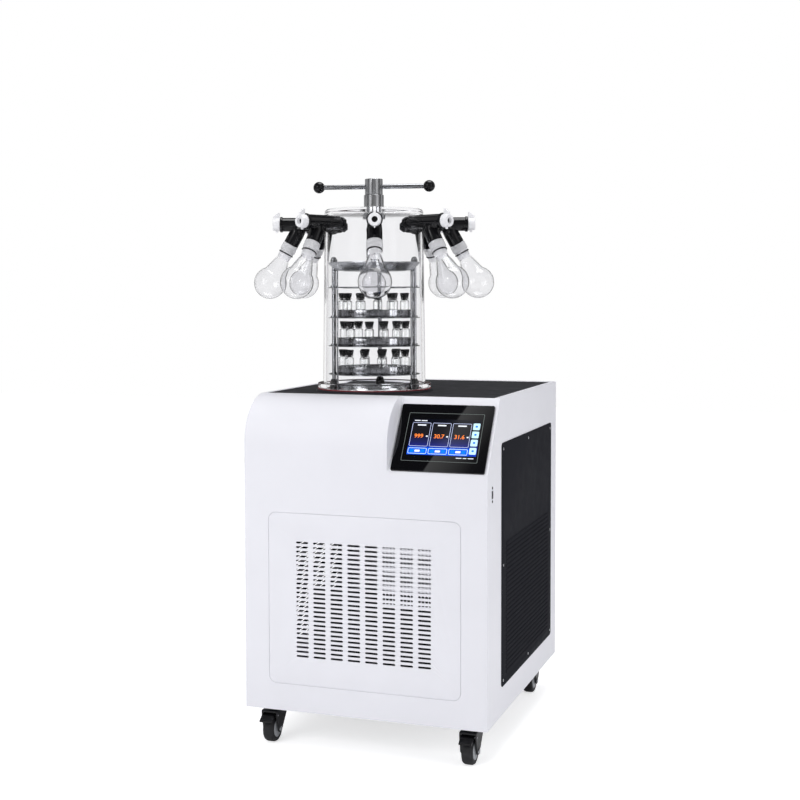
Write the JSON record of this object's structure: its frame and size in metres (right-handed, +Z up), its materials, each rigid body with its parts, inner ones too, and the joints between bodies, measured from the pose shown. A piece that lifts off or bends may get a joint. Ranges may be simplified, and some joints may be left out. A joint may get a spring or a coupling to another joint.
{
  "type": "freeze dryer",
  "caption": "Floor-standing laboratory freeze dryer with a clear bell, shelf rack, screw press, flask valves and casters.",
  "frame": {"origin": "centre of the bounding box at the floor", "axes": "+Z up; +Y from the front to the back; +X to the right of someone who faces the front"},
  "size_m": [0.6298, 0.7648, 1.3249],
  "materials": {
    "white_paint": "satin powder coat",
    "black_paint": "fine-textured powder coat",
    "dark_steel": "zinc-plated",
    "stainless": "brushed",
    "fin_aluminium": "mill finish",
    "black_plastic": "moulded satin",
    "white_plastic": "moulded gloss",
    "screen": "glossy",
    "red_rubber": "matt",
    "tyre": "matt",
    "acrylic": "polished clear",
    "glass": "polished clear"
  },
  "bodies": {
    "root": {"base_pan": "dark_steel", "housing_wrap": "white_paint", "front_cover": "white_paint", "front_vent_panel": "white_paint", "side_vent_right": "black_paint", "side_vent_left": "black_paint", "top_plate": "black_paint", "touch_screen": "screen", "cold_trap": "stainless", "seat_ring": "black_paint", "base_gasket": "red_rubber", "bell_jar": "acrylic", "press_collar": "stainless", "vacuum_tube": "stainless", "rack_frame": "stainless", "tray_1": "stainless", "tray_2": "stainless", "tray_3": "stainless", "compressor": "black_paint", "condenser": "fin_aluminium", "valve_body_1": "black_plastic", "flask_1": "glass", "valve_body_2": "black_plastic", "flask_2": "glass", "valve_body_3": "black_plastic", "flask_3": "glass", "valve_body_4": "black_plastic", "flask_4": "glass", "valve_body_5": "black_plastic", "flask_5": "glass", "valve_body_6": "black_plastic", "flask_6": "glass", "valve_body_7": "black_plastic", "flask_7": "glass", "valve_body_8": "black_plastic", "flask_8": "glass"},
    "handle": {"press_hub": "stainless", "handle_bar": "stainless"},
    "press": {"press_rod": "stainless", "press_plate": "stainless"},
    "fan": {"condenser_fan": "black_plastic"},
    "stopcock_1": {"valve_knob_1": "white_plastic"},
    "stopcock_2": {"valve_knob_2": "white_plastic"},
    "stopcock_3": {"valve_knob_3": "white_plastic"},
    "stopcock_4": {"valve_knob_4": "white_plastic"},
    "stopcock_5": {"valve_knob_5": "white_plastic"},
    "stopcock_6": {"valve_knob_6": "white_plastic"},
    "stopcock_7": {"valve_knob_7": "white_plastic"},
    "stopcock_8": {"valve_knob_8": "white_plastic"},
    "swivel_front_left": {"caster_fork_front_left": "black_plastic"},
    "wheel_front_left": {"caster_wheel_front_left": "tyre"},
    "swivel_front_right": {"caster_fork_front_right": "black_plastic"},
    "wheel_front_right": {"caster_wheel_front_right": "tyre"},
    "swivel_back_left": {"caster_fork_back_left": "black_plastic"},
    "wheel_back_left": {"caster_wheel_back_left": "tyre"},
    "swivel_back_right": {"caster_fork_back_right": "black_plastic"},
    "wheel_back_right": {"caster_wheel_back_right": "tyre"},
    "pedal_front_left": {"brake_pedal_front_left": "black_plastic"},
    "pedal_front_right": {"brake_pedal_front_right": "black_plastic"}
  },
  "joints": [
    {"name": "handle_turn", "type": "hinge", "parent": "root", "child": "handle", "pos_m": [-0.0391, -0.1066, 1.3063], "axis": [0, 0, 1], "range_deg": [0, 3150]},
    {"name": "press_slide", "type": "slide", "parent": "root", "child": "press", "axis": [0, 0, 1], "range_m": [-0.0351, 0]},
    {"name": "fan_spin", "type": "hinge", "parent": "root", "child": "fan", "pos_m": [0.0209, -0.2626, 0.225], "axis": [0, 1, 0], "continuous": true},
    {"name": "stopcock_1_turn", "type": "hinge", "parent": "root", "child": "stopcock_1", "pos_m": [0.03919, -0.32286, 1.216], "axis": [0.3404, -0.9403, 0], "range_deg": [0, 180]},
    {"name": "stopcock_2_turn", "type": "hinge", "parent": "root", "child": "stopcock_2", "pos_m": [0.16918, -0.20416, 1.216], "axis": [0.9056, -0.4242, 0], "range_deg": [0, 180]},
    {"name": "stopcock_3_turn", "type": "hinge", "parent": "root", "child": "stopcock_3", "pos_m": [0.17717, -0.02831, 1.216], "axis": [0.9403, 0.3404, 0], "range_deg": [0, 180]},
    {"name": "stopcock_4_turn", "type": "hinge", "parent": "root", "child": "stopcock_4", "pos_m": [0.05847, 0.10168, 1.216], "axis": [0.4242, 0.9056, 0], "range_deg": [0, 180]},
    {"name": "stopcock_5_turn", "type": "hinge", "parent": "root", "child": "stopcock_5", "pos_m": [-0.11739, 0.10967, 1.216], "axis": [-0.3404, 0.9403, 0], "range_deg": [0, 180]},
    {"name": "stopcock_6_turn", "type": "hinge", "parent": "root", "child": "stopcock_6", "pos_m": [-0.24738, -0.00903, 1.216], "axis": [-0.9056, 0.4242, 0], "range_deg": [0, 180]},
    {"name": "stopcock_7_turn", "type": "hinge", "parent": "root", "child": "stopcock_7", "pos_m": [-0.25536, -0.18488, 1.216], "axis": [-0.9403, -0.3404, 0], "range_deg": [0, 180]},
    {"name": "stopcock_8_turn", "type": "hinge", "parent": "root", "child": "stopcock_8", "pos_m": [-0.13666, -0.31488, 1.216], "axis": [-0.4242, -0.9056, 0], "range_deg": [0, 180]},
    {"name": "swivel_front_left_turn", "type": "hinge", "parent": "root", "child": "swivel_front_left", "pos_m": [-0.2191, -0.2996, 0.075], "axis": [0, 0, 1], "continuous": true},
    {"name": "wheel_front_left_spin", "type": "hinge", "parent": "swivel_front_left", "child": "wheel_front_left", "pos_m": [-0.2191, -0.3216, 0.0315], "axis": [1, 0, 0], "continuous": true},
    {"name": "swivel_front_right_turn", "type": "hinge", "parent": "root", "child": "swivel_front_right", "pos_m": [0.2609, -0.2996, 0.075], "axis": [0, 0, 1], "continuous": true},
    {"name": "wheel_front_right_spin", "type": "hinge", "parent": "swivel_front_right", "child": "wheel_front_right", "pos_m": [0.2609, -0.3216, 0.0315], "axis": [1, 0, 0], "continuous": true},
    {"name": "swivel_back_left_turn", "type": "hinge", "parent": "root", "child": "swivel_back_left", "pos_m": [-0.2191, 0.2864, 0.075], "axis": [0, 0, 1], "continuous": true},
    {"name": "wheel_back_left_spin", "type": "hinge", "parent": "swivel_back_left", "child": "wheel_back_left", "pos_m": [-0.2191, 0.2644, 0.0315], "axis": [1, 0, 0], "continuous": true},
    {"name": "swivel_back_right_turn", "type": "hinge", "parent": "root", "child": "swivel_back_right", "pos_m": [0.2609, 0.2864, 0.075], "axis": [0, 0, 1], "continuous": true},
    {"name": "wheel_back_right_spin", "type": "hinge", "parent": "swivel_back_right", "child": "wheel_back_right", "pos_m": [0.2609, 0.2644, 0.0315], "axis": [1, 0, 0], "continuous": true},
    {"name": "pedal_front_left_press", "type": "hinge", "parent": "swivel_front_left", "child": "pedal_front_left", "pos_m": [-0.2191, -0.3356, 0.066], "axis": [1, 0, 0], "range_deg": [0, 12]},
    {"name": "pedal_front_right_press", "type": "hinge", "parent": "swivel_front_right", "child": "pedal_front_right", "pos_m": [0.2609, -0.3356, 0.066], "axis": [1, 0, 0], "range_deg": [0, 12]}
  ],
  "couplings": [
    {"joint": "press_slide", "follows": "handle_turn", "m_per_rad": -0.00063662}
  ]
}
